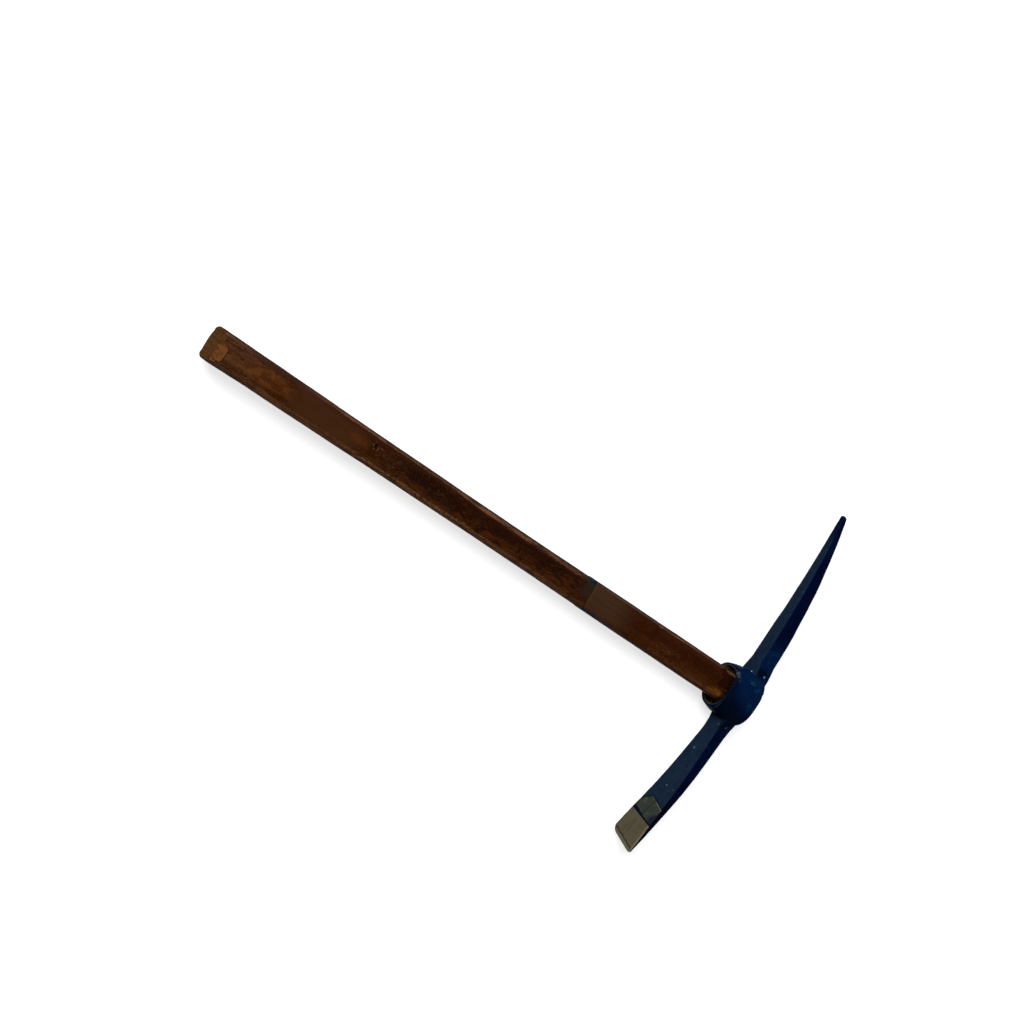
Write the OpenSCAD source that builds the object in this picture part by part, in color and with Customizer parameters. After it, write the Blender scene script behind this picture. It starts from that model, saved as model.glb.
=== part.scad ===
// Pick axe with a drop-on head: a forged head, a wooden handle and a wrapped sleeve.
// +X runs along the handle from the grip to the head, +Y from the chisel to the point,
// and +Z up from the floor that the tool lies on. The origin is on that floor, under the
// middle of the whole tool. Heights and widths of a section are its full sizes.

/* [Handle] */
// Whole length of the handle, from the grip end to the end that shows above the eye
handle_len = 900; // [700:10:1000]
// Width of the handle at the grip, along Y
grip_w = 35; // [30:0.5:37]
// Thickness of the handle at the grip, along Z
grip_t = 29; // [26:0.5:31]
// Width of the handle where it enters the eye
neck_w = 40; // [38:0.5:44]
// Thickness of the handle where it enters the eye
neck_t = 32; // [31:0.5:34]
// Length below the eye over which the handle swells
swell_len = 450; // [300:10:500]
// Width cut off each corner of the handle's section, on both sides of the corner
corner_cut = 6.5; // [5:0.5:8]
// Radius round the edge of the grip end
end_round = 3; // [2:0.5:7]
// How far the handle's centre line lies toward the point, off the eye's centre
handle_offset = 1; // [0:0.1:2]

/* [Eye] */
// How square the eye's oval is: 2 is a true oval
eye_square = 2.5; // [2.4:0.1:3]
// Height of the eye along the handle
eye_h = 51; // [44:1:60]
// Gap beside the handle at the eye's mouth, on each narrow side
mouth_gap_w = 6; // [5:0.5:9]
// Gap over the handle at the eye's mouth, on each broad side
mouth_gap_t = 1.7; // [1.5:0.1:2.5]
// How much wider the eye is at its top than at its mouth
eye_taper = 4; // [3:0.5:6]
// Length of the handle's flare that bears on the eye
seat_len = 24; // [16:1:30]
// Gap left round the seated flare, on each side
seat_clearance = 0.25; // [0.1:0.05:0.5]
// How far the handle stands out above the eye
handle_proud = 2; // [0:0.5:5]

/* [Collar] */
// Wall at the mouth, at the narrow ends of the oval
lip_wall_w = 3; // [3:0.5:6]
// Wall at the mouth, on the broad sides of the oval
lip_wall_t = 6; // [5:0.2:8]
// How much wider the collar is at the arms than at its mouth
collar_swell_w = 10.5; // [6:0.5:12]
// How much thicker the collar is at the arms than at its mouth
collar_swell_t = 3; // [2:0.5:6]
// How far the collar stands out from the arms toward the grip
collar_drop = 28; // [20:1:34]
// Rounding of the collar's two rims
lip_round = 1.5; // [0.5:0.5:2.5]

/* [Point arm] */
// Reach of the point from the eye's centre
point_reach = 256; // [200:4:320]
// Height of the point arm at its root, along X
point_root_h = 27; // [22:0.5:30]
// Thickness of the point arm at its root, along Z
point_root_t = 19.5; // [16:0.5:24]
// Height and thickness of the blunt tip
tip_size = 6; // [4:0.5:8]
// Rounding of the tip's end
tip_round = 1.5; // [0.5:0.5:1.5]
// How far the tip droops toward the grip
point_droop = 11; // [2:0.5:14]

/* [Chisel arm] */
// Reach of the cutting edge from the eye's centre
chisel_reach = 226; // [180:2:280]
// Height of the chisel arm at its root, along X
chisel_root_h = 20.5; // [15:0.5:22]
// Thickness of the chisel arm at its root, along Z
chisel_root_t = 23.5; // [20:0.5:28]
// Width of the cutting edge, along Z
edge_w = 49.5; // [40:0.5:52]
// Thickness of the cutting edge
edge_h = 2.5; // [1.5:0.5:4]
// How far the cutting edge droops toward the grip
chisel_droop = 22; // [8:1:26]
// Slant of the cutting edge, as ground, in degrees
edge_skew = 15; // [0:1:16]
// Length of the ground bevel behind the cutting edge
bevel_len = 37; // [20:1:60]
// Depth ground away at the cutting edge
bevel_depth = 1.5; // [0.5:0.5:3]

/* [Sleeve] */
// Distance from the eye's mouth to the near end of the sleeve
sleeve_gap = 150; // [120:5:160]
// Length of the sleeve along the handle
sleeve_len = 115; // [60:5:120]
// Thickness of the sleeve's film
sleeve_t = 0.8; // [0.5:0.1:1]

/* [Hidden] */

steel_blue = [0.07, 0.09, 0.16];
stained_wood = [0.30, 0.20, 0.12];
faded_film = [0.33, 0.30, 0.27];

// Places along X before the whole tool is moved to its origin: 0 is the arms' inner face
mouth_x = -collar_drop;
eye_top_x = mouth_x + eye_h;
handle_end_x = eye_top_x + handle_proud;
grip_x = handle_end_x - handle_len;
seat_x = eye_top_x - seat_len;
sleeve_end_x = mouth_x - sleeve_gap;
sleeve_start_x = sleeve_end_x - sleeve_len;
swell_x = mouth_x - swell_len;

// The eye is a straight taper from its mouth to its top
mouth_w = neck_w + 2 * mouth_gap_w;
mouth_t = neck_t + 2 * mouth_gap_t;
function eye_w(x) = mouth_w + eye_taper * (x - mouth_x) / eye_h;
function eye_t(x) = mouth_t + eye_taper * (x - mouth_x) / eye_h;

// The collar round it
lip_w = mouth_w + 2 * lip_wall_w;
lip_t = mouth_t + 2 * lip_wall_t;
collar_w = lip_w + collar_swell_w;
collar_t = lip_t + collar_swell_t;
collar_levels = [0, lip_round, eye_h / 4, eye_h / 2, eye_h * 3 / 4, eye_h - lip_round, eye_h];

// The arms start inside the collar, where the eye is cut out of them again
root_y = collar_w / 4;
bevel_y = chisel_reach - bevel_len;
arm_square = 10;
arm_steps = 14;
arm_points = 24;
oval_points = 48;
stick_square = 4;
turn_sharp = 18;
slice_t = 0.1;
fillet_len = 16;
fillet_size = 8;

// Bends of the arms' faces: an exponent of 1 is a straight taper
point_inner_bend = 2.8;
point_outer_bend = 2.25;
point_side_bend = 2;
chisel_inner_bend = 1.9;
chisel_outer_bend = 1.85;
flare_start = 0.15;

// The tool's origin
edge_slant = edge_w / 2 * sin(edge_skew);
tool_x = (grip_x + max(handle_end_x, point_root_h)) / 2;
tool_y = (point_reach - chisel_reach - edge_slant) / 2;
tool_z = max(collar_t, edge_w) / 2;

function blend(a, b, share) = a + (b - a) * share;
function smooth(share) = share * share * (3 - 2 * share);
function clip(value) = max(0, min(1, value));
function root(value, power) = sign(value) * pow(abs(value), 2 / power);

// An oval whose sides flatten as the power grows, as points across w and t
function oval(w, t, power, count) =
    [for (i = [0 : count - 1])
        let (turn = 360 * i / count)
        [w / 2 * root(cos(turn), power), t / 2 * root(sin(turn), power)]];

// A skin over rings of points that run along +X; a closed skin joins the last ring to the first
module loft(rings, closed = false) {
    n = len(rings);
    m = len(rings[0]);
    last = closed ? n - 1 : n - 2;
    sides = [for (i = [0 : last], j = [0 : m - 1], half = [0, 1])
        let (a = i * m, b = (i + 1) % n * m, k = (j + 1) % m)
        half == 0 ? [a + j, b + j, b + k] : [a + j, b + k, a + k]];
    start = [for (j = [0 : m - 1]) j];
    finish = [for (j = [m - 1 : -1 : 0]) (n - 1) * m + j];
    polyhedron([for (ring = rings) each ring], closed ? sides : concat([start, finish], sides));
}

// How far a point lies out from the middle of the handle's section, where 1 is on its
// edge: flat faces, flat corner cuts, and a soft turn from one to the next
function stick_reach(p, w, t) =
    let (across = abs(p[0]) / (w / 2),
         over = abs(p[1]) / (t / 2),
         corner = (abs(p[0]) + abs(p[1])) / (w / 2 + t / 2 - corner_cut))
    pow(pow(across, turn_sharp) + pow(over, turn_sharp) + pow(corner, turn_sharp), 1 / turn_sharp);

// The handle's swell from the grip to the eye's mouth, and its flare inside the eye, where
// its section turns into the eye's oval before it fills it
function swell(x) = smooth(clip((x - swell_x) / (mouth_x - swell_x)));
function flare(x) = smooth(clip((x - mouth_x) / (seat_x - mouth_x)));
function handle_w(x) = blend(blend(grip_w, neck_w, swell(x)), eye_w(x) - 2 * seat_clearance, flare(x));
function handle_t(x) = blend(blend(grip_t, neck_t, swell(x)), eye_t(x) - 2 * seat_clearance, flare(x));
function handle_ring(x, grow = 0) =
    let (w = handle_w(x) + 2 * grow,
         t = handle_t(x) + 2 * grow,
         turned = clip(2 * flare(x)),
         shift = handle_offset * (1 - flare(x)))
    [for (p = oval(w, t, blend(stick_square, eye_square, turned), oval_points))
        let (size = blend(1 / stick_reach(p, w, t), 1, turned))
        [x, size * p[0] + shift, size * p[1]]];

// Stations from a to b, without b
function steps(a, b, count) = [for (i = [0 : count - 1]) blend(a, b, i / count)];
sleeve_stations = concat(steps(sleeve_start_x, sleeve_end_x, 4), [sleeve_end_x]);
rounded_end = [for (turn = [0 : 22.5 : 67.5])
    handle_ring(grip_x + end_round * (1 - cos(turn)), -end_round * (1 - sin(turn)))];

module handle() {
    stations = concat(
        steps(grip_x + end_round, swell_x, 4),
        steps(swell_x, sleeve_start_x, 4),
        sleeve_stations,
        steps(blend(sleeve_end_x, mouth_x, 0.25), mouth_x, 3),
        steps(mouth_x, seat_x, 6),
        steps(seat_x, handle_end_x, 3),
        [handle_end_x]);
    color(stained_wood) place() loft(concat(rounded_end, [for (x = stations) handle_ring(x)]));
}

module sleeve() {
    outer = [for (x = sleeve_stations) handle_ring(x, sleeve_t)];
    inner = [for (i = [len(sleeve_stations) - 1 : -1 : 0]) handle_ring(sleeve_stations[i])];
    color(faded_film) place() loft(concat(outer, inner), true);
}

// A thin slice of the head across X, for the collar and the eye
module level(x, w, t) {
    translate([x, 0, 0])
        rotate([90, 0, 90])
            linear_extrude(slice_t, center = true)
                polygon(oval(w, t, eye_square, oval_points));
}

// A thin slice across an arm, between its inner and its outer face
module slice(y, inner, outer, t, skew = 0) {
    translate([(inner + outer) / 2, y, 0])
        rotate([90 + skew, 0, 0])
            linear_extrude(slice_t, center = true)
                polygon(oval(outer - inner, t, arm_square, arm_points));
}

// Extra thickness where an arm runs into the collar
function fillet(y) = fillet_size * pow(clip(1 - (y - collar_w / 2) / fillet_len), 2);

module point_slice(y) {
    share = (y - root_y) / (point_reach - root_y);
    inset = tip_round * clip((y - point_reach) / tip_round + 1);
    inner = -point_droop * pow(share, point_inner_bend);
    outer = blend(point_root_h, tip_size - point_droop, pow(share, point_outer_bend));
    t = blend(point_root_t, tip_size, pow(share, point_side_bend)) + fillet(y);
    slice(y, inner + inset, outer - inset, t - 2 * inset);
}

module chisel_slice(y) {
    share = (y - root_y) / (chisel_reach - root_y);
    ground = bevel_depth * clip((y - bevel_y) / bevel_len);
    inner = -chisel_droop * pow(share, chisel_inner_bend) + ground;
    outer = blend(chisel_root_h, edge_h + bevel_depth - chisel_droop, pow(share, chisel_outer_bend));
    t = blend(chisel_root_t, edge_w, clip((share - flare_start) / (1 - flare_start))) + fillet(y);
    slice(-y, inner, outer, t, edge_skew * share * share);
}

// A level of the collar's outside, at a height over the mouth: full from the arms up
module collar_slice(h) {
    swell = sin(90 * clip(h / collar_drop));
    inset = h == 0 || h == eye_h ? 2 * lip_round : 0;
    level(mouth_x + h, lip_w + collar_swell_w * swell - inset, lip_t + collar_swell_t * swell - inset);
}

module collar() {
    for (i = [1 : len(collar_levels) - 1]) {
        hull() {
            collar_slice(collar_levels[i - 1]);
            collar_slice(collar_levels[i]);
        }
    }
}

module point_arm() {
    stations = concat(steps(root_y, point_reach - tip_round, arm_steps), [point_reach - tip_round, point_reach]);
    for (i = [1 : len(stations) - 1]) {
        hull() {
            point_slice(stations[i - 1]);
            point_slice(stations[i]);
        }
    }
}

module chisel_arm() {
    stations = concat(steps(root_y, bevel_y, arm_steps), steps(bevel_y, chisel_reach, 3), [chisel_reach]);
    for (i = [1 : len(stations) - 1]) {
        hull() {
            chisel_slice(stations[i - 1]);
            chisel_slice(stations[i]);
        }
    }
}

// The eye runs out past both rims, so that it cuts them clean
module eye() {
    below = mouth_x - eye_h;
    above = eye_top_x + eye_h;
    hull() {
        level(below, eye_w(below), eye_t(below));
        level(above, eye_w(above), eye_t(above));
    }
}

module pick_head() {
    color(steel_blue)
        place()
            difference() {
                union() {
                    collar();
                    point_arm();
                    chisel_arm();
                }
                eye();
            }
}

module place() {
    translate([-tool_x, -tool_y, tool_z])
        children();
}

handle();
pick_head();
sleeve();
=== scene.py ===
"""A pick axe on a pale floor: a forged painted head on a stained handle with a worn film."""
import math
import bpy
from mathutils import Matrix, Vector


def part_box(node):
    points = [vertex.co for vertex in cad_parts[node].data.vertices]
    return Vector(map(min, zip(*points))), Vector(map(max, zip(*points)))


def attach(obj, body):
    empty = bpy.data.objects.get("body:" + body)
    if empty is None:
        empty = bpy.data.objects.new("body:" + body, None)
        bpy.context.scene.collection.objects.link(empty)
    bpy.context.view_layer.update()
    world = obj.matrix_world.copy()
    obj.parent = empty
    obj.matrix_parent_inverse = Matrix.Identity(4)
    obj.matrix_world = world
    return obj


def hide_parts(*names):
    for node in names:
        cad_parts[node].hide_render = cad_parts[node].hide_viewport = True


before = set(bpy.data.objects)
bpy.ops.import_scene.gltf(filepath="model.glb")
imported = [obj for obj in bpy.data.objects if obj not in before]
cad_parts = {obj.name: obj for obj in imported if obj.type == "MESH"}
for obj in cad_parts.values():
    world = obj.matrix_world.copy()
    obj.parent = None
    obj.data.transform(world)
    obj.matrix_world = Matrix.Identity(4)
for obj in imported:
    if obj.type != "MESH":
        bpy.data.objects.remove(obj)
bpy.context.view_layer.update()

from types import SimpleNamespace

import bmesh
import bpy
import numpy as np
from mathutils import Matrix, Vector, noise

MM = 0.001

# Places on the tool. Local millimetres run from the eye's middle, at the arms' inner face:
# X to the far end of the handle, Y to the point, Z up through the head's thickness.
HANDLE_END_X = 25
MOUTH_X = -28
handle_low, handle_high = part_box("handle")
eye = Vector((handle_high.x - HANDLE_END_X * MM,
              (handle_low.y + handle_high.y) / 2,
              (handle_low.z + handle_high.z) / 2))
grip_x = (handle_low.x - eye.x) / MM
sleeve_low, sleeve_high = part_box("sleeve")
film_start_x = (sleeve_low.x - eye.x) / MM
film_end_x = (sleeve_high.x - eye.x) / MM
# How far the handle's middle lies toward the point
STICK_Y = 1


# Numbers

def srgb(red, green, blue):
    """A display colour from 0 to 255 as a linear RGBA colour."""
    def linear(value):
        share = value / 255
        return share / 12.92 if share <= 0.04045 else ((share + 0.055) / 1.055) ** 2.4
    return (linear(red), linear(green), linear(blue), 1)


def smoothstep(value, none, full):
    """A smooth change from 0 at one number to 1 at another, which may be the lower one."""
    share = np.clip((value - none) / (full - none), 0, 1)
    return share * share * (3 - 2 * share)


def near(value, middle, full, none):
    """1 up to one distance from a middle, fading to 0 at a longer one."""
    return smoothstep(np.abs(value - middle), none, full)


def rough(points, size, seed):
    """Fractal noise, about -1 to 1, at local points, with lumps of about the given size."""
    octaves = 3
    shift = Vector((17.3 * seed, 5.1 * seed, 9.7 * seed))
    scaled = points / np.asarray(size)
    return np.array([noise.fractal(Vector(p) + shift, 1, 2, octaves) for p in scaled])


def lumpy(points, lumps):
    """Heights of several kinds of lumps, each with its own height, size and seed."""
    return sum(height * rough(points, size, seed) for height, size, seed in lumps)


def spots(points, places, soft):
    """1 at round places, fading over a share of each one's radius."""
    mask = np.zeros(len(points))
    for *place, radius in places:
        away = np.linalg.norm(points - np.array(place), axis=1) / radius
        mask = np.maximum(mask, smoothstep(away, 1, 1 - soft))
    return mask


def away_from_lines(across, along, lines):
    """How far points lie from the nearest of some short lines."""
    points = np.stack((across, along), axis=1)
    away = np.full(len(points), np.inf)
    for here, there in np.array(lines):
        reach = there - here
        share = np.clip((points - here) @ reach / (reach @ reach), 0, 1)
        away = np.minimum(away, np.linalg.norm(points - here - share[:, None] * reach, axis=1))
    return away


def depth_in_polygon(across, along, corners):
    """How deep points lie inside a convex polygon; less than 0 is outside."""
    corners = np.array(corners, float)
    middle = corners.mean(axis=0)
    depth = np.full(len(across), np.inf)
    for here, there in zip(corners, np.roll(corners, -1, axis=0)):
        side = np.array((there[1] - here[1], here[0] - there[0]))
        side /= np.linalg.norm(side)
        if np.dot(middle - here, side) < 0:
            side = -side
        depth = np.minimum(depth, (across - here[0]) * side[0] + (along - here[1]) * side[1])
    return depth


# Meshes

# Corners of a CAD mesh that lie this close are one corner
WELD = 0.01


def add_piece(name, mesh):
    """A new object in the scene."""
    piece = bpy.data.objects.new(name, mesh)
    bpy.context.scene.collection.objects.link(piece)
    return piece


def evaluated(piece):
    """The piece's mesh with its modifiers applied, which it keeps as its own."""
    graph = bpy.context.evaluated_depsgraph_get()
    mesh = bpy.data.meshes.new_from_object(piece.evaluated_get(graph))
    piece.modifiers.clear()
    piece.data = mesh
    mesh.shade_smooth()
    return mesh


def welded_copy(node):
    """A copy of a CAD node's mesh with its split corners joined."""
    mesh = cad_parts[node].data.copy()
    mesh.materials.clear()
    work = bmesh.new()
    work.from_mesh(mesh)
    bmesh.ops.remove_doubles(work, verts=work.verts, dist=WELD * MM)
    bmesh.ops.recalc_face_normals(work, faces=work.faces)
    work.to_mesh(mesh)
    work.free()
    return mesh


def skinned(node, name, voxel, rounds):
    """A fine, even, softened skin over a CAD node."""
    piece = add_piece(name, welded_copy(node))
    skin = piece.modifiers.new("skin", "REMESH")
    skin.mode = "VOXEL"
    skin.voxel_size = voxel * MM
    soften = piece.modifiers.new("soften", "SMOOTH")
    soften.factor = 0.5
    soften.iterations = rounds
    evaluated(piece)
    return piece


def local_points(mesh):
    """Vertex places in local millimetres."""
    flat = np.empty(len(mesh.vertices) * 3, np.float32)
    mesh.vertices.foreach_get("co", flat)
    return (flat.reshape(-1, 3).astype(float) - np.array(eye)) / MM


def vertex_normals(mesh):
    """Vertex normals as an array."""
    flat = np.empty(len(mesh.vertices) * 3, np.float32)
    mesh.vertices.foreach_get("normal", flat)
    return flat.reshape(-1, 3).astype(float)


def move_points(mesh, points):
    """Puts the vertices at places in local millimetres."""
    places = points * MM + np.array(eye)
    mesh.vertices.foreach_set("co", places.astype(np.float32).ravel())
    mesh.update()


def blurred(mesh, values, rounds):
    """Vertex values averaged with their neighbours, over and over."""
    flat = np.empty(len(mesh.edges) * 2, np.int32)
    mesh.edges.foreach_get("vertices", flat)
    one, two = flat.reshape(-1, 2).T
    size = len(values)
    count = np.bincount(one, minlength=size) + np.bincount(two, minlength=size)
    for _ in range(rounds):
        total = np.stack([np.bincount(one, column[two], size) + np.bincount(two, column[one], size)
                          for column in values.T], axis=1)
        values = (values + total / count[:, None]) / 2
    return values


def convexity(mesh, rounds):
    """How far each vertex stands out from its blurred surroundings, in millimetres."""
    points = local_points(mesh)
    return np.sum((points - blurred(mesh, points, rounds)) * vertex_normals(mesh), axis=1)


def keep(mesh, **values):
    """Stores numbers for each vertex, for the materials."""
    for name, numbers in values.items():
        mask = mesh.attributes.new(name, "FLOAT", "POINT")
        mask.data.foreach_set("value", np.asarray(numbers, np.float32))


# Materials

class Material:
    """A node material, built one node at a time."""

    # The share of a line's width that has its full strength
    LINE_CORE = 0.35

    def __init__(self, name):
        self.data = bpy.data.materials.new(name)
        self.data.use_nodes = True
        self.tree = self.data.node_tree
        self.shader = self.tree.nodes["Principled BSDF"]
        self.place = self.add("ShaderNodeTexCoord").outputs["Object"]

    def add(self, kind, **options):
        """A new node with its options set."""
        node = self.tree.nodes.new(kind)
        for key, value in options.items():
            setattr(node, key, value)
        return node

    def feed(self, socket, value):
        """Links a socket to another one, or sets its value."""
        if isinstance(value, bpy.types.NodeSocket):
            self.tree.links.new(value, socket)
        else:
            socket.default_value = value

    def set(self, **values):
        """Sets sockets of the shader. Underscores stand for spaces."""
        for key, value in values.items():
            self.feed(self.shader.inputs[key.replace("_", " ")], value)

    def mask(self, name):
        """A number stored on the mesh."""
        return self.add("ShaderNodeAttribute", attribute_name=name).outputs["Fac"]

    def noise(self, size, detail=4, roughness=0.55, twist=0):
        """Noise with lumps of the given size in millimetres along X, Y and Z."""
        scale = self.add("ShaderNodeMapping")
        self.feed(scale.inputs["Vector"], self.place)
        scale.inputs["Scale"].default_value = [1 / (side * MM) for side in size]
        node = self.add("ShaderNodeTexNoise")
        self.feed(node.inputs["Vector"], scale.outputs["Vector"])
        node.inputs["Scale"].default_value = 1
        node.inputs["Detail"].default_value = detail
        node.inputs["Roughness"].default_value = roughness
        node.inputs["Distortion"].default_value = twist
        return node.outputs["Fac"]

    def local(self, axis):
        """The place along one axis, in local millimetres."""
        split = self.add("ShaderNodeSeparateXYZ")
        self.feed(split.inputs[0], self.place)
        middle = eye["XYZ".index(axis)]
        return self.rescale(split.outputs[axis], middle - 1, middle + 1, -1 / MM, 1 / MM)

    def rescale(self, value, low, high, out_low=0.0, out_high=1.0, smooth=False):
        """A value carried from one range to another, held at its ends where it is smooth."""
        node = self.add("ShaderNodeMapRange", clamp=smooth)
        if smooth:
            node.interpolation_type = "SMOOTHSTEP"
        for socket, number in zip(node.inputs[:5], (value, low, high, out_low, out_high)):
            self.feed(socket, number)
        return node.outputs["Result"]

    def step(self, value, low, high, out_low=0.0, out_high=1.0):
        """A smooth step between two numbers, the first of which may be the higher one."""
        return self.rescale(value, low, high, out_low, out_high, smooth=True)

    def band(self, value, start, end, strength=1.0):
        """A share that is full between two places: each pair says where it is none and full."""
        return self.product(self.step(value, *start), self.step(value, *end, 0.0, strength))

    def math(self, operation, one, two, held=True):
        """One sum on two numbers, held from 0 to 1 unless it is a distance."""
        node = self.add("ShaderNodeMath", operation=operation, use_clamp=held)
        self.feed(node.inputs[0], one)
        self.feed(node.inputs[1], two)
        return node.outputs[0]

    def product(self, first, *others):
        """Shares multiplied together."""
        for other in others:
            first = self.math("MULTIPLY", first, other)
        return first

    def total(self, one, two):
        """The sum of two distances."""
        return self.math("ADD", one, two, held=False)

    def sway(self, distance, texture, reach):
        """A distance moved to and fro by a noise."""
        return self.total(distance, self.rescale(texture, 0.0, 1.0, -reach, reach))

    def line(self, distance, width, strength=1.0, at=0.0):
        """A thin line where a distance is near a number."""
        past = self.math("SUBTRACT", distance, at, held=False)
        away = self.math("ABSOLUTE", past, 0.0, held=False)
        return self.step(away, self.LINE_CORE * width, width, strength, 0.0)

    def veins(self, texture, core, reach, strength):
        """Thin lines where a noise passes its middle."""
        past = self.math("SUBTRACT", texture, 0.5, held=False)
        return self.step(self.math("ABSOLUTE", past, 0.0), core, reach, strength, 0.0)

    def mix(self, share, one, two):
        """From colour one to colour two."""
        node = self.add("ShaderNodeMix", data_type="RGBA")
        self.feed(node.inputs["Factor"], share)
        self.feed(node.inputs[6], one)
        self.feed(node.inputs[7], two)
        return node.outputs[2]

    def layers(self, colour, *coats):
        """Coats laid over a first colour, each with its share."""
        for share, coat in coats:
            colour = self.mix(share, colour, coat)
        return colour

    def bump(self, height, depth, below=None):
        """A bump of the given depth in millimetres, over another bump."""
        node = self.add("ShaderNodeBump")
        node.inputs["Distance"].default_value = depth * MM
        self.feed(node.inputs["Height"], height)
        if below:
            self.feed(node.inputs["Normal"], below)
        return node.outputs["Normal"]


# Head

HEAD_VOXEL = 0.75
HEAD_SOFTENING = 6
# The eye's wall at its mouth, how much it grows up to its top, and how square its oval is
EYE_SIZE = np.array((52, 35.4))
EYE_GROWTH = 4
EYE_HEIGHT = 51
EYE_SQUARE = 2.5
# How far from the axis the eye's inside reaches, and how far no skin is moved
EYE_INSIDE = 1.12
EYE_UNMOVED = 1.15
# The ground end of the chisel. Slopes are per millimetre along the edge.
EDGE_Y = -226
EDGE_HALF = 23.9
EDGE_SLOPE = 0.27
EDGE_ROUNDING = ((-1, 11), (1, 5))
BEVEL_Y = -188
BEVEL_SLOPE = 0.18
# The facet ground behind the bevel, as corners across and along the edge, and its depth
FACET_CORNERS = ((-185, -22), (-170, -18), (-159, -5), (-168, 22), (-190, 24))
FACET_DEPTH = 0.5
# The strip of paint between facet and bevel: its width at one end of the edge, and its growth
FACET_GAP = 0.8
FACET_GAP_END = 24
FACET_GAP_GROWTH = 0.1
# A scratch along the facet
SCRATCH_Y = -175
SCRATCH_Z = 1.2
SCRATCH_SLOPE = 0.06
# Where the pale side of the bare steel is measured from
PALE_SIDE = 21.7
PALE_SIDE_SLOPE = 0.06
# Hammered lumps, as heights, sizes and seeds
HEAD_LUMPS = ((0.35, (30, 40, 18), 1), (0.12, 8, 2))
# How far the skin is let out all over, and round the middle of the point's arm
HEAD_RISE = 0.25
ARM_RISE = 0.5
ARM_RISE_Y = 75
# How far the ends of the arms lie toward the grip
POINT_DROOP = 1.5
CHISEL_DROOP = 1.3
CHIP_DEPTH = 0.25
# Rounds of blurring that tell worn edges from flat places
EDGE_BLUR = 16
# Bright chips in the paint, as local places and radii
CHIPS = ((0, 34, 6, 2.2), (1.5, 35.5, 8, 1.4), (16, 37, 13, 1.9), (0, -42, 9, 1.5),
         (-4, 22, 21, 0.9), (-8, -139, 0, 1.2), (-2.4, -82.5, -1.7, 1.7), (-2, 151, 6, 1.2),
         (0, 102, 6, 1.1), (22, 16, 22, 3.2))
# Scuffed places, as local places and radii
SCUFFS = ((9, 2, 25, 20), (14, 58, 9, 24), (3, 16, 23, 24), (-4, -80, 0, 22))
# Painted shade in the corners where the arms meet the collar, as local places and radii
SHADES = ((8, 39, 12, 8.5), (14, 40, 12, 7), (4, -41, 14, 9))
# Paint rubbed through at the mouth and on the chisel's arm, as local places and radii
RUBBED = ((-27, 24, 10, 3), (-26.5, 22.5, 14.5, 4), (-25.5, 20, 18, 3.6), (-24, 16, 20, 3),
          (-7.8, -139.6, 14.2, 1.8), (9.3, -41, 13, 2.2))
# Nicks in the bare steel, as ends across and along the edge
NICKS = (((-204.2, -0.2), (-211.2, -1.5)),
         ((-193.3, -3), (-198, -2.4)),
         ((-205.8, 13), (-208.5, 13.8)))
# Where the ground facet is darkened to plum at one corner
FACET_FADE = ((-14, -186, 24, 16),)

SOOT = srgb(24, 25, 18)
INK = srgb(3, 4, 8)


def painted_colour(paint, looks):
    """Navy paint with dust and a painted sheen, painted light and shade, scuffs and chips, and
    rust inside the eye.
    """
    navy = srgb(1, 7, 36)
    blue = srgb(2, 23, 56)
    dull = srgb(2, 7, 20)
    teal = srgb(8, 44, 66)
    dusty_sheen = srgb(21, 34, 49)
    primer = srgb(62, 72, 80)
    chipped = srgb(132, 146, 154)
    rust = srgb(92, 76, 56)

    # Bluer on the collar's point side as painted light, on the scuffed root of the point's arm and
    # at random
    bluer = paint.math("ADD", paint.step(looks.broad, 0.45, 0.65, 0.0, 0.3), paint.mask("bluer"))
    # Dust and a painted sheen make the faces toward the grip paler
    dust_and_sheen = paint.product(paint.mask("inner"), paint.step(looks.cloudy, 0.3, 0.62, 0.6, 1.0))
    scuffs = paint.product(paint.step(looks.cloudy, 0.42, 0.56),
                           paint.step(looks.scratches, 0.49, 0.59), paint.mask("scuffed"))
    rubbed = paint.product(paint.mask("worn"), paint.step(looks.cloudy, 0.36, 0.56, 0.35, 0.95))
    chips = paint.product(paint.mask("chip"), paint.step(looks.grit, 0.4, 0.52))
    crusted = paint.product(paint.mask("crusted"), paint.step(looks.grit, 0.36, 0.54, 0.35, 1.0))
    rusty = paint.math("MAXIMUM", paint.step(looks.cloudy, 0.42, 0.58), crusted)
    wedge = paint.product(paint.step(looks.past_bevel, -9.0, -6.0), paint.mask("grip_side"), 0.9)
    return paint.layers(navy,
                        (bluer, blue),
                        (dust_and_sheen, dusty_sheen),
                        # Darker as painted shade on the collar's chisel side and at the arms'
                        # roots, and darker on the mouth's face
                        (paint.mask("dull"), dull),
                        (scuffs, teal),
                        (paint.step(looks.grit, 0.56, 0.7, 0.0, 0.22), teal),
                        (paint.step(looks.grit, 0.32, 0.46, 0.35, 0.0), INK),
                        # Painted shade on the up-facing faces of the chisel's arm
                        (paint.mask("dark_side"), INK),
                        (rubbed, primer),
                        (chips, chipped),
                        (paint.mask("inside"), paint.mix(rusty, SOOT, rust)),
                        (wedge, dull))


def facet_colour(paint, looks, facet):
    """The ground facet behind the bevel, with a light side, a scratch and a corner darkened to
    plum.
    """
    ground = srgb(46, 52, 46)
    dark_ground = srgb(37, 42, 37)
    ridge = srgb(84, 86, 66)
    plum = srgb(20, 22, 36)

    light_side = paint.product(paint.line(facet, 1.0, at=1.0), paint.mask("facet_right"))
    return paint.layers(dark_ground,
                        (paint.step(looks.streaks, 0.35, 0.62), ground),
                        (paint.step(looks.cloudy, 0.5, 0.64, 0.0, 0.35), ridge),
                        (light_side, ridge),
                        (paint.line(paint.mask("facet_scratch"), 0.8, 0.75), INK),
                        (paint.mask("facet_fade"), plum))


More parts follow.
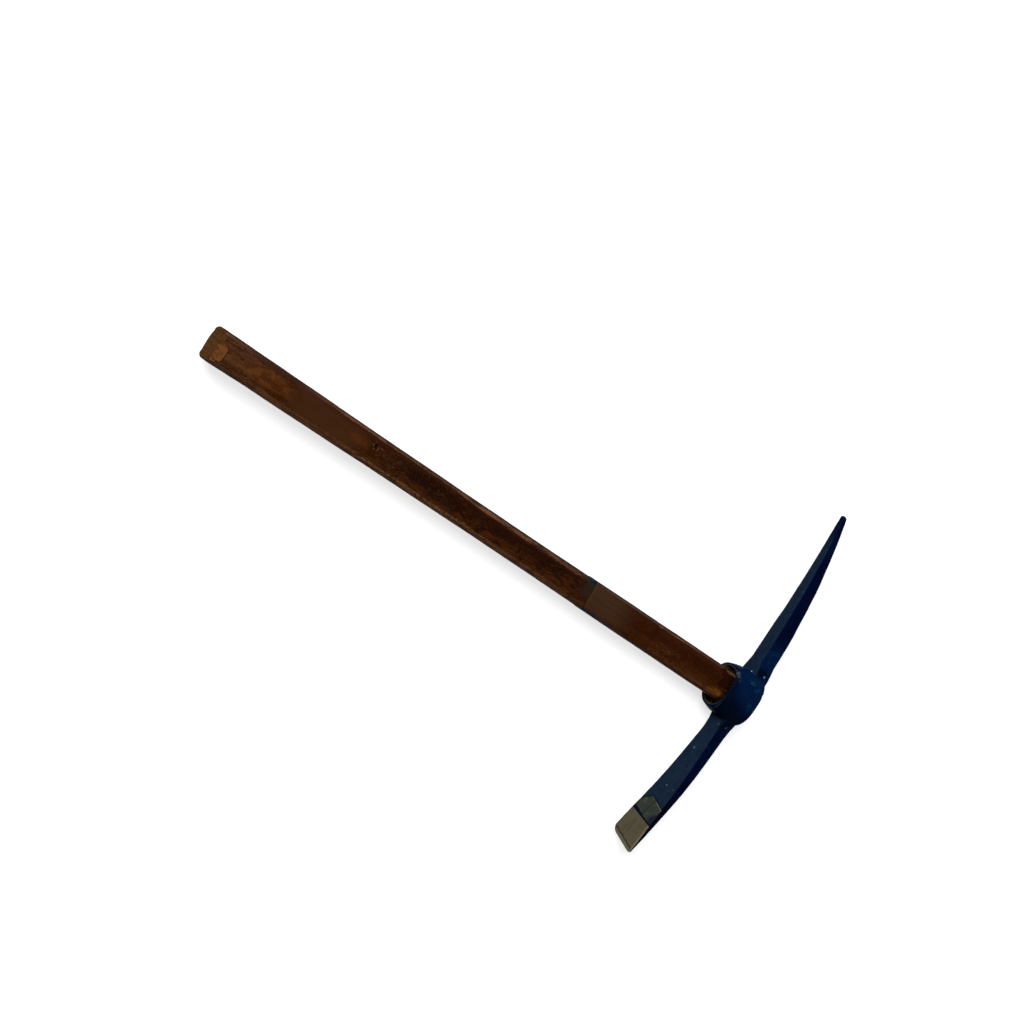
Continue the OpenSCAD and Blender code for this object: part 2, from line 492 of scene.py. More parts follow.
def bare_colour(paint, looks, blunt):
    """Bare ground steel, nicked, with a blunt edge and a pale side."""
    steel = srgb(84, 78, 62)
    dark_steel = srgb(68, 62, 48)
    pale_steel = srgb(98, 92, 74)

    nicks = paint.product(paint.veins(looks.scratches, 0.004, 0.016, 0.7),
                          paint.step(looks.cloudy, 0.5, 0.6))
    side_gap = paint.sway(paint.mask("side_gap"), looks.ragged, 0.75)
    brushed = paint.step(paint.math("ADD", looks.streaks, looks.cloudy), 0.78, 1.2)
    return paint.layers(dark_steel,
                        (brushed, steel),
                        (paint.step(looks.grit, 0.32, 0.48, 0.5, 0.0), dark_steel),
                        (nicks, SOOT),
                        (paint.line(paint.mask("nick_away"), 0.9, 0.6), SOOT),
                        (paint.step(blunt, -5.4, -4.6, 0.0, 0.4), pale_steel),
                        (paint.line(blunt, 1.4, 0.85, at=-5.4), SOOT),
                        (paint.step(side_gap, 3.8, 2.8, 0.0, 0.4), pale_steel),
                        (paint.line(side_gap, 0.9, 0.25, at=3.2), SOOT))


def head_material():
    """Dark navy paint over forged steel, with bare ground steel at the chisel's end."""
    paint = Material("painted_steel")
    looks = SimpleNamespace(broad=paint.noise((34, 34, 34), 3),
                            cloudy=paint.noise((9, 9, 9), 6, 0.7),
                            scratches=paint.noise((16, 7, 5), 6, 0.7, 1.2),
                            grit=paint.noise((1.5, 1.5, 1.5), 3, 0.7),
                            streaks=paint.noise((9, 26, 1.2), 4, 0.6),
                            ragged=paint.noise((6, 6, 6), 4, 0.6))
    looks.past_bevel = paint.sway(paint.mask("past_bevel"), looks.ragged, 0.75)

    facet = paint.sway(paint.mask("facet_depth"), looks.ragged, 0.9)
    on_facet = paint.product(paint.step(facet, -0.3, 0.3), paint.mask("grip_side"))
    outline = paint.product(paint.line(facet, 1.2, 0.9, at=-0.7), paint.mask("facet_top"))
    blunt = paint.sway(paint.mask("past_edge"), looks.ragged, 2.4)
    bare = paint.product(paint.step(looks.past_bevel, -0.3, 0.3), paint.mask("bare_side"))
    bare = paint.math("MAXIMUM", bare, paint.step(blunt, -3.0, -1.5))
    colour = paint.layers(painted_colour(paint, looks),
                          (on_facet, facet_colour(paint, looks, facet)),
                          (outline, INK),
                          (bare, bare_colour(paint, looks, blunt)))

    lumps = paint.bump(paint.noise((7, 7, 7), 4, 0.6), 0.3)
    grain = paint.bump(looks.grit, 0.05, lumps)
    paint.set(Base_Color=colour,
              Metallic=paint.product(bare, 0.35),
              Roughness=paint.step(looks.cloudy, 0.3, 0.7, 0.36, 0.55),
              Specular_IOR_Level=0.006,
              Normal=paint.bump(looks.streaks, 0.04, grain))
    return paint.data


def eye_reach(points):
    """How far points lie out from the eye's axis, to the power of its oval: 1 is its wall."""
    height = (points[:, 0] - MOUTH_X) / EYE_HEIGHT
    wall = EYE_SIZE + EYE_GROWTH * height[:, None]
    return np.sum(np.abs(points[:, 1:] / (wall / 2)) ** EYE_SQUARE, axis=1)


def round_corners(across, along):
    """Rounds the worn corners of the cutting edge, as new places across and along."""
    past = EDGE_Y - EDGE_SLOPE * along - across
    for side, radius in EDGE_ROUNDING:
        over = np.clip(side * along - EDGE_HALF + radius, 0, None)
        beyond = np.clip(past + radius, 0, None)
        away = np.hypot(over, beyond)
        pull = np.where(away > radius, radius / np.maximum(away, radius), 1)
        along = along + side * over * (pull - 1)
        past = past + beyond * (pull - 1)
    return EDGE_Y - EDGE_SLOPE * along - past, along


def build_head():
    """The forged head: a fine skin over its CAD form, with hammered lumps and worn edges."""
    head = skinned("pick_head", "forged_head", HEAD_VOXEL, HEAD_SOFTENING)
    mesh = head.data
    points = local_points(mesh)
    normals = vertex_normals(mesh)
    reach = eye_reach(points)
    inward = np.sum(normals[:, 1:] * points[:, 1:], axis=1) < 0
    inside = (reach < EYE_INSIDE) & inward & (np.abs(normals[:, 0]) < 0.7)

    lumps = HEAD_RISE + lumpy(points, HEAD_LUMPS)
    lumps += ARM_RISE * near(points[:, 1], ARM_RISE_Y, 20, 45)
    lumps[reach < EYE_UNMOVED] = 0
    points += normals * lumps[:, None]
    points[:, 0] -= (POINT_DROOP * smoothstep(points[:, 1], 110, 250)
                     + CHISEL_DROOP * smoothstep(points[:, 1], -120, -210))
    wobble = rough(points, 5, 3)
    chip = spots(points + 0.5 * wobble[:, None], CHIPS, 0.5)
    points -= normals * (CHIP_DEPTH * chip)[:, None]

    points[:, 1], points[:, 2] = round_corners(points[:, 1], points[:, 2])
    across, along = points[:, 1], points[:, 2]
    past_bevel = BEVEL_Y - BEVEL_SLOPE * along - across
    past_edge = EDGE_Y - EDGE_SLOPE * along - across
    grip_side = smoothstep(normals[:, 0], -0.35, -0.75)
    facet_depth = depth_in_polygon(across, along, FACET_CORNERS)
    facet_gap = FACET_GAP + FACET_GAP_GROWTH * (FACET_GAP_END - along)
    facet_depth = np.minimum(facet_depth, -facet_gap - past_bevel)
    points[:, 0] += FACET_DEPTH * grip_side * smoothstep(facet_depth, -0.5, 2)
    move_points(mesh, points)
    normals = vertex_normals(mesh)

    sharp = smoothstep(convexity(mesh, EDGE_BLUR) + 0.12 * wobble, 0.25, 0.7)
    ring = reach ** (1 / EYE_SQUARE)
    mouth = smoothstep(points[:, 0], -24, -26.5)
    lip = near(ring, 1.03, 0.02, 0.05) + 0.35 * near(ring, 1.19, 0.01, 0.03)
    lip *= mouth * (0.45 + 0.25 * smoothstep(across, 0, -14))
    lip = np.maximum(lip, spots(points + 0.7 * wobble[:, None], RUBBED, 0.7))
    # Painted shade darkens the collar's chisel side, and painted light makes its point side bluer
    low = smoothstep(across + 0.5 * points[:, 0], -4, -26) * (across > -36)
    high = smoothstep(across + 0.4 * points[:, 0], -18, 10) * (across < 36)
    root = smoothstep(np.abs(across - 56) - 10 * wobble, 34, 10)
    root *= smoothstep(normals[:, 2], 0.2, 0.6)
    shaded = spots(points, SHADES, 0.5)
    keep(mesh,
         worn=np.maximum(0.12 * sharp, 0.85 * lip),
         past_bevel=past_bevel,
         past_edge=past_edge,
         nick_away=away_from_lines(across, along, NICKS),
         side_gap=PALE_SIDE + PALE_SIDE_SLOPE * (BEVEL_Y - across) - along,
         facet_depth=facet_depth,
         facet_right=smoothstep(along, 2, 9) * smoothstep(across, -182, -176),
         facet_top=smoothstep(across, -184, -178) * grip_side,
         facet_scratch=along - SCRATCH_Z - SCRATCH_SLOPE * (across - SCRATCH_Y),
         facet_fade=0.9 * spots(points, FACET_FADE, 0.5),
         bare_side=smoothstep(normals[:, 0], -0.2, -0.5),
         grip_side=grip_side,
         # The faces toward the grip are paler with dust and a painted sheen
         inner=grip_side * (np.abs(across) > 33) * (1 - 0.85 * smoothstep(across, 205, 238)),
         # Painted shade on the up-facing faces of the chisel's arm
         dark_side=0.9 * smoothstep(normals[:, 2], 0.5, 0.8) * smoothstep(across, -100, -190),
         bluer=np.maximum(0.9 * high, 0.8 * root),
         dull=np.max((0.8 * low, 0.95 * mouth, 0.85 * shaded), axis=0),
         inside=inside,
         crusted=0.9 * smoothstep(across, 6, 16),
         scuffed=spots(points, SCUFFS, 0.8) * (1 - 0.5 * grip_side),
         chip=chip)
    mesh.materials.append(head_material())
    return head


# Handle

HANDLE_VOXEL = 1.1
HANDLE_SOFTENING = 2
# The width of the slices in which the depth of the section is measured
SECTION_STEP = 5
# Dents, as heights, sizes and seeds
HANDLE_DENTS = ((0.3, (60, 18, 18), 5), (0.12, (9, 5, 5), 6))
# How far the grip is let out all round, to its sides and at its lower corners
GRIP_RISE = 0.5
GRIP_SPREAD = 0.6
CORNER_RISE = 1.8
# How far the grip's end is drawn in along the handle
END_DRAWN_IN = 2.6
# The knife cut on the grip's end: its length, height, slope, turn and longest reach
CUT_LENGTH = 10.5
CUT_HEIGHT = 14.3
CUT_SLOPE = 0.5
CUT_TURN = 0.24
CUT_REACH = 14
# The knot: its middle, slant and stretch across, its radii, and the chafed ring round it
KNOT_X = -652.6
KNOT_Y = 6.7
KNOT_SLANT = 0.4
KNOT_STRETCH = 1.4
KNOT_INNER = 1.4
KNOT_OUTER = 2.3
CHAFED_RADIUS = 3.1
# Cracks in the grip, as places across its end and slants
CRACKS = ((9.5, 0.05), (-13, 0))
# Raw wood by the mouth: its middle, and how much longer it is than wide
RAW_X = -42
RAW_Y = -13
RAW_STRETCH = 3
# The painted shadow of the eye's rim on the wood by the mouth: its start and slant, and its lower
# side and its fade there
RIM_SHADOW_X = -46
RIM_SHADOW_SLANT = 0.3
RIM_SHADOW_Y = -4
RIM_SHADOW_FADE = 1.5
NO_RIM_SHADOW = -10
# Stretches along the handle: where each starts and where it ends, both from none to full
PLAIN = ((-785, -755), (-655, -692))
WARM = ((-845, -815), (-760, -792))
SHADED = ((-850, -825), (-640, -670))
GOLDEN = ((-190, -155), (-92, -122))
BY_KNOT = ((KNOT_X - 42, KNOT_X - 22), (KNOT_X - 2, KNOT_X - 14))
# Looks that go on to an end of the handle, from none to full
GRIP_TONE = (-755, -810)
FADED = (-815, -845)
SPECKED = (-795, -835)
CALM = (-330, -285)
# Dark stains on the front, as middles and half sizes along and across
STAINS = ((-577, 2, 24, 8), (-443, 5, 24, 5), (-379, 1, 11, 5), (-415, 9, 46, 2.5))
# How pale the front's corners are worn, as places along the handle and shares; the upper corner's
# pale strip is also painted light on the lit chamfer
UPPER_WEAR_AND_LIGHT = ((-870, 0.5), (-835, 0.1), (-770, 0), (-690, 1), (-610, 0.9), (-560, 0.6),
              (-490, 1), (-400, 1), (-310, 0.3), (-210, 0.5), (-170, 0.85), (-60, 0.85))
LOWER_WEAR = ((-870, 0.6), (-830, 0.9), (-400, 0.9), (-310, 0.5), (-280, 0.3),
              (-120, 0.3), (-70, 0.7))
# The film's near edge: its slant, its curl at the lower corner, its lead in front, and the
# width of the handle there
FILM_SLANT = 1.5
FILM_CURL = 5
FILM_LEAD = 2.2
FILM_WIDTH = 36

OCHRE = srgb(60, 28, 8)
UMBER = srgb(47, 17, 3)
REDDISH = srgb(30, 9, 4)
FRAYED = srgb(114, 84, 54)
PITCH = srgb(14, 6, 2)
CORNER_BROWN = srgb(40, 16, 7)


def wood_textures(wood):
    """Places and noises that the wood's layers share."""
    return SimpleNamespace(along=wood.local("X"),
                           across=wood.local("Y"),
                           fibres=wood.noise((60, 1.3, 1.3), 5, 0.6),
                           grain=wood.noise((16, 1.7, 1.7), 5, 0.65, 0.4),
                           broad=wood.noise((55, 13, 13), 4, 0.6, 0.3),
                           blotches=wood.noise((24, 10, 10), 5, 0.62, 1.0),
                           curls=wood.noise((13, 6, 6), 3, 0.6, 2.2),
                           flecks=wood.noise((4, 1.8, 1.8), 4, 0.7),
                           grit=wood.noise((2.2, 1.1, 1.1), 3, 0.7))


def stained_colour(wood, looks):
    """Brown stain that changes along the handle, from the grip past the knot."""
    brown = srgb(66, 37, 20)
    grip_high = srgb(104, 63, 34)
    grip_low = srgb(63, 34, 13)
    amber = srgb(94, 49, 15)
    plum = srgb(60, 34, 23)
    pink = srgb(94, 62, 49)

    toned = wood.step(wood.math("ADD", looks.broad, looks.tilt), 0.46, 0.66)
    grip_colour = wood.mix(wood.step(looks.across, -9, 0), grip_low, grip_high)
    warm = wood.product(wood.band(looks.along, *WARM, 0.8),
                        wood.band(looks.across, (-8, -2), (10, 5)))
    by_knot = wood.product(wood.band(looks.along, *BY_KNOT),
                           wood.band(looks.across, (-5, 1), (9, 4)),
                           wood.step(looks.blotches, 0.35, 0.5, 0.2, 0.65))
    shaded = wood.product(wood.step(looks.across, 10, 13),
                          wood.band(looks.along, *SHADED, 0.85))
    faded = wood.product(wood.step(looks.across, 8, 12),
                         wood.step(looks.along, *FADED, 0.0, 0.85),
                         wood.step(looks.blotches, 0.38, 0.58, 0.3, 1.0))
    specks = wood.product(wood.step(looks.flecks, 0.5, 0.62),
                          wood.step(looks.along, *SPECKED, 0.0, 0.6))
    return wood.layers(OCHRE,
                       (toned, UMBER),
                       (wood.product(looks.plain, 0.9), brown),
                       (wood.step(looks.along, *GRIP_TONE, 0.0, 0.9), grip_colour),
                       (warm, amber),
                       (by_knot, amber),
                       (shaded, plum),
                       (faded, pink),
                       (specks, pink))


def wood_colour(wood, looks):
    """Stained straight grained wood, blotched by use, and its bumps."""
    blot = srgb(28, 9, 3)
    fleck = srgb(84, 47, 18)
    gold = srgb(80, 50, 20)
    warm_low = srgb(66, 35, 12)
    strand = srgb(98, 68, 42)

    # A plain stretch past the grip, a marked middle and a calm stretch by the head
    looks.plain = wood.band(looks.along, *PLAIN)
    looks.tilt = wood.step(looks.across, -10, 10, 0.0, 0.14)
    marked = wood.math("SUBTRACT", 1.0, wood.product(looks.plain, 0.9))
    marked = wood.product(marked, wood.step(looks.along, *CALM, 1.0, 0.45))
    marked = wood.math("ADD", marked, wood.step(looks.along, -190, -130, 0.0, 0.25))
    calm = wood.step(looks.along, *CALM)

    stained = wood.product(wood.step(wood.math("ADD", looks.blotches, looks.tilt), 0.51, 0.59),
                           wood.step(looks.along, -650, -600, 0.35, 1.0),
                           wood.step(looks.along, -330, -270, 1.0, 0.3), marked)
    lines = wood.product(wood.veins(looks.curls, 0.0, 0.03, 0.8), marked,
                         wood.step(looks.blotches, 0.4, 0.55))
    golden = wood.product(wood.band(looks.along, *GOLDEN, 0.85),
                          wood.step(looks.across, 4, -4), wood.step(looks.curls, 0.5, 0.58))
    streaks = wood.product(wood.step(wood.noise((120, 3, 3), 3, 0.5), 0.46, 0.62, 0.0, 0.5), calm)
    low_warm = wood.product(wood.step(looks.along, -150, -90),
                            wood.step(looks.across, -4, -10, 0.0, 0.6))
    strands = wood.product(wood.veins(wood.noise((11, 5, 5), 3, 0.55, 2.2), 0.006, 0.02, 0.75),
                           wood.step(looks.blotches, 0.47, 0.58),
                           wood.step(looks.along, -692, -668),
                           wood.step(looks.along, -590, -520, 1.0, 0.25),
                           wood.step(looks.along, -340, -300, 1.0, 0.0))
    dark_grain = wood.product(wood.step(looks.grain, 0.36, 0.47, 0.55, 0.0), marked)
    pale_grain = wood.product(wood.step(looks.grain, 0.54, 0.66, 0.0, 0.35), marked)
    pale_flecks = wood.product(wood.step(looks.flecks, 0.52, 0.66, 0.0, 0.5), marked)
    dark_grit = wood.product(wood.step(looks.grit, 0.34, 0.48, 0.32, 0.0), marked)
    colour = wood.layers(stained_colour(wood, looks),
                         (stained, blot),
                         (lines, blot),
                         (dark_grain, blot),
                         (pale_grain, fleck),
                         (pale_flecks, fleck),
                         (golden, gold),
                         (dark_grit, PITCH),
                         (wood.step(looks.fibres, 0.5, 0.7, 0.0, 0.2), OCHRE),
                         (streaks, UMBER),
                         (low_warm, warm_low),
                         (strands, strand))
    bumps = wood.bump(lines, -0.12, wood.bump(looks.flecks, 0.1, wood.bump(looks.fibres, 0.12)))
    return colour, bumps


def side_colour(wood, looks):
    """The handle's sides, darker and streaked."""
    light_side = srgb(62, 33, 17)

    side_grain = wood.noise((70, 1.6, 1.2), 5, 0.6, 0.3)
    patches = wood.noise((26, 7, 5), 5, 0.65, 0.6)
    return wood.layers(CORNER_BROWN,
                       (wood.step(side_grain, 0.42, 0.62), light_side),
                       (wood.step(patches, 0.5, 0.66, 0.0, 0.6), REDDISH),
                       (wood.step(looks.grit, 0.36, 0.48, 0.45, 0.0), PITCH))


def corner_coats(wood, looks, patchy):
    """Wear along the front's corners, with painted light on the upper one: pale strips, a dark
    line and dashes.
    """
    pale = srgb(114, 77, 53)
    tan = srgb(104, 67, 41)
    edge_brown = srgb(52, 26, 11)
    red_corner = srgb(54, 15, 5)

    ragged = wood.sway(wood.mask("depth"), looks.flecks, 1.0)
    raised = wood.total(ragged, wood.mask("wide_wear"))
    speckled = wood.product(wood.step(looks.grit, 0.36, 0.56, 0.25, 1.0),
                            wood.step(patchy, 0.4, 0.56, 0.25, 1.0))
    within = wood.product(wood.step(ragged, 0.2, 0.8), wood.step(raised, 3.2, 2.4, 0.0, 0.6),
                          wood.mask("upper_edge"))
    # The upper corner's pale strip: wear and a painted highlight on the lit chamfer
    upper = wood.product(wood.step(raised, 2.4, 3.4), wood.step(ragged, 6.0, 4.6), speckled,
                         wood.mask("upper_edge"))
    lower = wood.product(wood.step(ragged, 0.5, 1.5), wood.step(ragged, 6.6, 5.4), speckled,
                         wood.mask("lower_edge"))
    reddened = wood.product(wood.step(ragged, 3.2, 4.4), wood.mask("red_edge"), 0.75)
    inner_line = wood.product(wood.line(raised, 1.0, 0.55, at=2.5), wood.mask("lined"))
    dashes = wood.product(wood.line(ragged, 1.2, 0.85, at=2.2), wood.mask("dashed"),
                          wood.step(wood.noise((6, 4, 4), 2, 0.5), 0.47, 0.54))
    return ((wood.step(ragged, 6.2, 7.0), side_colour(wood, looks)),
            (within, edge_brown),
            (upper, pale),
            (lower, tan),
            (reddened, red_corner),
            (inner_line, CORNER_BROWN),
            (dashes, FRAYED))


def grip_coats(wood, looks):
    """The sawn end of the grip, its knife cut and its cracks, and the knot."""
    cut_wood = srgb(106, 63, 35)
    end_wood = srgb(78, 49, 21)
    dark_end = srgb(59, 35, 14)
    pore = srgb(34, 17, 8)

    end_grain = wood.noise((4, 2.4, 9), 4, 0.6, 1.2)
    pores = wood.noise((1.3, 1.1, 1.3), 2, 0.5)
    end_colour = wood.layers(dark_end,
                             (wood.step(end_grain, 0.34, 0.62), end_wood),
                             (wood.step(pores, 0.36, 0.44, 0.55, 0.0), pore))
    cut = wood.sway(wood.mask("cut_depth"), looks.flecks, 0.15)
    frayed = wood.sway(looks.along, looks.flecks, 6.0)
    cut_colour = wood.mix(wood.step(looks.flecks, 0.4, 0.58), end_wood, cut_wood)
    cut_colour = wood.mix(wood.step(frayed, grip_x + 1, grip_x + 7), end_colour, cut_colour)
    on_cut = wood.product(wood.step(cut, -0.1, 0.1), wood.mask("cut_side"))
    cut_line = wood.product(wood.line(cut, 0.35, 0.85, at=-0.25), wood.mask("cut_side"))
    crack = wood.sway(wood.mask("crack_away"), looks.flecks, 1.2)
    crack = wood.product(wood.line(crack, 0.8, 0.8), wood.mask("crack_reach"))
    return ((wood.mask("end"), end_colour),
            (on_cut, cut_colour),
            (crack, PITCH),
            (cut_line, PITCH),
            (wood.mask("knot"), PITCH),
            (wood.product(wood.mask("chafed"), 0.65), FRAYED))


def wood_material():
    """The handle's wood, worn pale at its corners with painted light on the upper one, with raw,
    cut and stained places, and painted shadow by the mouth.
    """
    dirt = srgb(92, 74, 54)
    raw = srgb(112, 68, 24)
    raw_dark = srgb(76, 42, 14)
    haze = srgb(42, 33, 26)
    blue = srgb(5, 28, 46)
    pale_blue = srgb(12, 44, 64)
    stained = srgb(28, 11, 7)

    wood = Material("stained_wood")
    looks = wood_textures(wood)
    colour, bumps = wood_colour(wood, looks)
    patchy = wood.noise((22, 4, 4), 4, 0.6)
    stain = wood.product(wood.mask("stain"), wood.step(looks.flecks, 0.4, 0.6, 0.85, 0.5))
    wrapped = wood.mix(wood.step(wood.noise((18, 8, 8), 5, 0.6), 0.42, 0.62), blue, pale_blue)
    # Painted shadow of the eye's rim on the wood by the mouth
    dark = wood.sway(wood.mask("dark"), patchy, 16.0)
    scraped = wood.product(wood.mask("raw"), wood.step(looks.grit, 0.35, 0.55, 0.3, 1.0))
    raw_streak = wood.step(wood.noise((12, 1.3, 1.3), 4, 0.6), 0.42, 0.58)
    # Painted shadow in the gap where the handle goes into the eye, with pale specks of dirt
    gap_shadow = wood.product(wood.step(looks.along, MOUTH_X - 6, MOUTH_X - 3, 0.0, 0.85),
                       wood.mask("front"))
    gap_shadow_colour = wood.mix(wood.step(looks.grit, 0.58, 0.66, 0.0, 0.8), PITCH, dirt)
    gritty = wood.product(wood.mask("mouth_edge"), wood.step(looks.flecks, 0.38, 0.56, 0.2, 0.85))
    colour = wood.layers(colour,
                         (stain, stained),
                         *corner_coats(wood, looks, patchy),
                         (wood.mask("haze"), haze),
                         (wood.mask("blue"), wrapped),
                         (wood.step(dark, -1.5, 1.5, 0.0, 0.85), REDDISH),
                         (scraped, wood.mix(raw_streak, raw_dark, raw)),
                         *grip_coats(wood, looks),
                         (gap_shadow, gap_shadow_colour),
                         (gritty, dirt))
    wood.set(Base_Color=colour,
             Roughness=wood.step(looks.flecks, 0.3, 0.7, 0.45, 0.6),
             Specular_IOR_Level=0.01,
             Normal=bumps)
    return wood.data


def film_edge(across):
    """Where the film's slanted near edge lies along X, at a place across the handle."""
    curl = FILM_CURL * smoothstep(across, -9, -17) + FILM_LEAD * smoothstep(across, 9, 17)
    return film_start_x - FILM_LEAD + FILM_SLANT * (0.5 - across / FILM_WIDTH) + curl


def section_depth(points):
    """How far each point lies behind the front or back of the handle's section."""
    places = np.round((points[:, 0] - points[:, 0].min()) / SECTION_STEP).astype(int)
    half = np.zeros(places.max() + 1)
    np.maximum.at(half, places, np.abs(points[:, 2]))
    return half[places] - np.abs(points[:, 2])


def stained_share(points, speckle):
    """How dark the stains on the front are."""
    stain = np.zeros(len(points))
    for middle_x, middle_y, half_x, half_y in STAINS:
        away = np.hypot((points[:, 0] - middle_x) / half_x, (points[:, 1] - middle_y) / half_y)
        stain = np.maximum(stain, smoothstep(away - 0.5 * speckle, 1.15, 0.6))
    return stain


def build_handle():
    """The wooden handle: a fine skin over its CAD form, with dents, a knot and a knife cut."""
    handle = skinned("handle", "wooden_handle", HANDLE_VOXEL, HANDLE_SOFTENING)
    mesh = handle.data
    points = local_points(mesh)
    normals = vertex_normals(mesh)
    along = points[:, 0]
    grip_end = along - grip_x

    seated = smoothstep(along, MOUTH_X - 12, MOUTH_X - 2)
    under_film = (smoothstep(along, film_start_x - 4, film_start_x)
                  * smoothstep(along, film_end_x + 4, film_end_x))
    free = (1 - seated) * (1 - under_film)
    uneven = lumpy(points, HANDLE_DENTS) + GRIP_RISE * smoothstep(grip_end, 60, 10)
    points += normals * (uneven * free)[:, None]
    depth = section_depth(points)
    across = points[:, 1] - STICK_Y
    spread = smoothstep(across, 0, 14) - smoothstep(across, 0, -14)
    points[:, 1] += GRIP_SPREAD * spread * smoothstep(grip_end, 270, 60)
    along += END_DRAWN_IN * smoothstep(grip_end, 60, 0)
    grip_end = along - along.min()
    low_corner = smoothstep(np.minimum(np.abs(normals[:, 1]), -normals[:, 2]), 0.3, 0.6)
    points += normals * (CORNER_RISE * low_corner * smoothstep(grip_end, 32, 6))[:, None]

    across = points[:, 1] - STICK_Y
    cut_reach = CUT_LENGTH - CUT_TURN * np.clip(across - 2, 0, None) ** 2
    cut_depth = points[:, 2] - (CUT_HEIGHT - CUT_SLOPE * (cut_reach - grip_end))
    cut_side = (grip_end < CUT_REACH) & (points[:, 2] > 0)
    points[:, 2] -= np.where(cut_side, np.clip(cut_depth, 0, None), 0)

    over_knot = points[:, 1] - KNOT_Y
    knot_away = np.hypot(along - KNOT_X + KNOT_SLANT * over_knot, over_knot / KNOT_STRETCH)
    knot = smoothstep(knot_away, KNOT_OUTER, KNOT_INNER) * (normals[:, 2] > 0.5)
    points -= normals * knot[:, None]
    move_points(mesh, points)
    normals = vertex_normals(mesh)

    speckle = rough(points, (14, 4, 4), 7)
    front = normals[:, 2] > 0.3
    upper = smoothstep(across, -2, 2)
    lower = 1 - upper
    # Wear along the corners, on the upper one also painted light
    upper_wear_and_light = np.interp(along, *zip(*UPPER_WEAR_AND_LIGHT))
    lower_wear = np.interp(along, *zip(*LOWER_WEAR))
    raw_away = np.hypot((along - RAW_X) / RAW_STRETCH, across - RAW_Y)
    raw = smoothstep(raw_away - 1.5 * speckle, 6, 3.5)
    before_film = film_edge(across) - along
    by_film = before_film > -2
    haze = 0.8 * smoothstep(before_film, 28, 3) * smoothstep(across + 2 * speckle, -13, 3)
    blue = smoothstep(before_film - 3 * speckle, 13, 10) * smoothstep(normals[:, 2], 0.85, 0.7)
    broken = smoothstep(rough(points, 3, 8), 0.0, 0.2)
    # The painted shadow of the eye's rim, on the front's upper part by the mouth
    dark = np.minimum(along - RIM_SHADOW_X + RIM_SHADOW_SLANT * across, RIM_SHADOW_FADE * (across - RIM_SHADOW_Y))
    cracks = [np.abs(across - place - slant * grip_end) for place, slant in CRACKS]
    keep(mesh,
         depth=depth,
         upper_edge=upper * upper_wear_and_light * (1 - seated),
         lined=upper * (1 - seated) * np.maximum(upper_wear_and_light, 1.4 * smoothstep(along, -230, -190)),
         wide_wear=1.7 * smoothstep(along, -560, -480) * smoothstep(along, -290, -320),
         lower_edge=lower * lower_wear * (1 - seated),
         red_edge=lower * smoothstep(along, -250, -180) * front,
         dashed=lower * smoothstep(along, -700, -670) * smoothstep(along, -420, -520),
         end=smoothstep(np.abs(normals[:, 0]), 0.5, 0.8),
         cut_depth=cut_depth,
         cut_side=cut_side,
         knot=knot,
         chafed=near(knot_away, CHAFED_RADIUS, 0.3, 0.8) * broken * front,
         crack_away=np.min(cracks, axis=0),
         crack_reach=(grip_end > 3) * smoothstep(grip_end, 32, 20) * front,
         front=front,
         mouth_edge=smoothstep(along, -44, -38) * near(depth, 4, 1, 2) * upper * front,
         raw=raw * front,
         stain=stained_share(points, speckle) * front,
         dark=np.where(front, dark, NO_RIM_SHADOW),
         haze=haze * front * by_film,
         blue=blue * by_film * upper)
    mesh.materials.append(wood_material())
    return handle


# Film

# Edges of the CAD film that are longer than this, along X, are cut into shorter ones
LONG_EDGE = 5
EDGE_CUTS = 7
# How far the film is rubbed down, everywhere and at its far end, and its unevenness
FILM_RUBBED = 0.3
FAR_END_RUBBED = 0.35
FILM_LUMPS = ((0.08, (20, 8, 8), 9),)
# How much further up the front the blue reaches at the torn lower corner
TORN_REACH = 3


def film_material():
    """A blue wrapped film, rubbed so thin on its flat faces that the wood shows through."""
    haze = srgb(63, 43, 28)
    blue = srgb(5, 24, 42)
    pale_blue = srgb(15, 42, 60)
    pale_corner = srgb(104, 74, 52)

    film = Material("worn_film")
    looks = wood_textures(film)
    colour, bumps = wood_colour(film, looks)
    cloudy = film.noise((18, 8, 8), 5, 0.6)
    depth = film.mask("depth")
    hazy = film.product(film.step(looks.along, film_start_x + 30, film_end_x - 20, 0.92, 0.0),
                        film.step(film.noise((90, 4, 4), 3, 0.5), 0.35, 0.6, 0.72, 1.0))
    upper = film.product(film.step(looks.across, 6, 9),
                         film.step(looks.along, film_start_x + 8, film_start_x + 40))
    wrapped = film.layers(blue,
                          (film.step(cloudy, 0.42, 0.62), pale_blue),
                          (film.step(looks.grit, 0.56, 0.7, 0.0, 0.5), haze))
    ragged = film.total(film.sway(depth, looks.flecks, 1.8), film.mask("torn"))
    colour = film.layers(colour,
                         (hazy, haze),
                         (film.product(film.line(depth, 1.0, 0.5, at=2.2), upper), CORNER_BROWN),
                         # The upper corner's pale strip, as on the handle: wear and a painted
                         # highlight on the lit chamfer
                         (film.product(film.line(depth, 1.0, 0.45, at=4.0), upper), pale_corner),
                         (film.step(ragged, 5.6, 6.4), wrapped))
    film.set(Base_Color=colour,
             Roughness=film.step(cloudy, 0.3, 0.7, 0.4, 0.55),
             Specular_IOR_Level=0.01,
             Normal=film.bump(cloudy, 0.1, bumps))
    return film.data


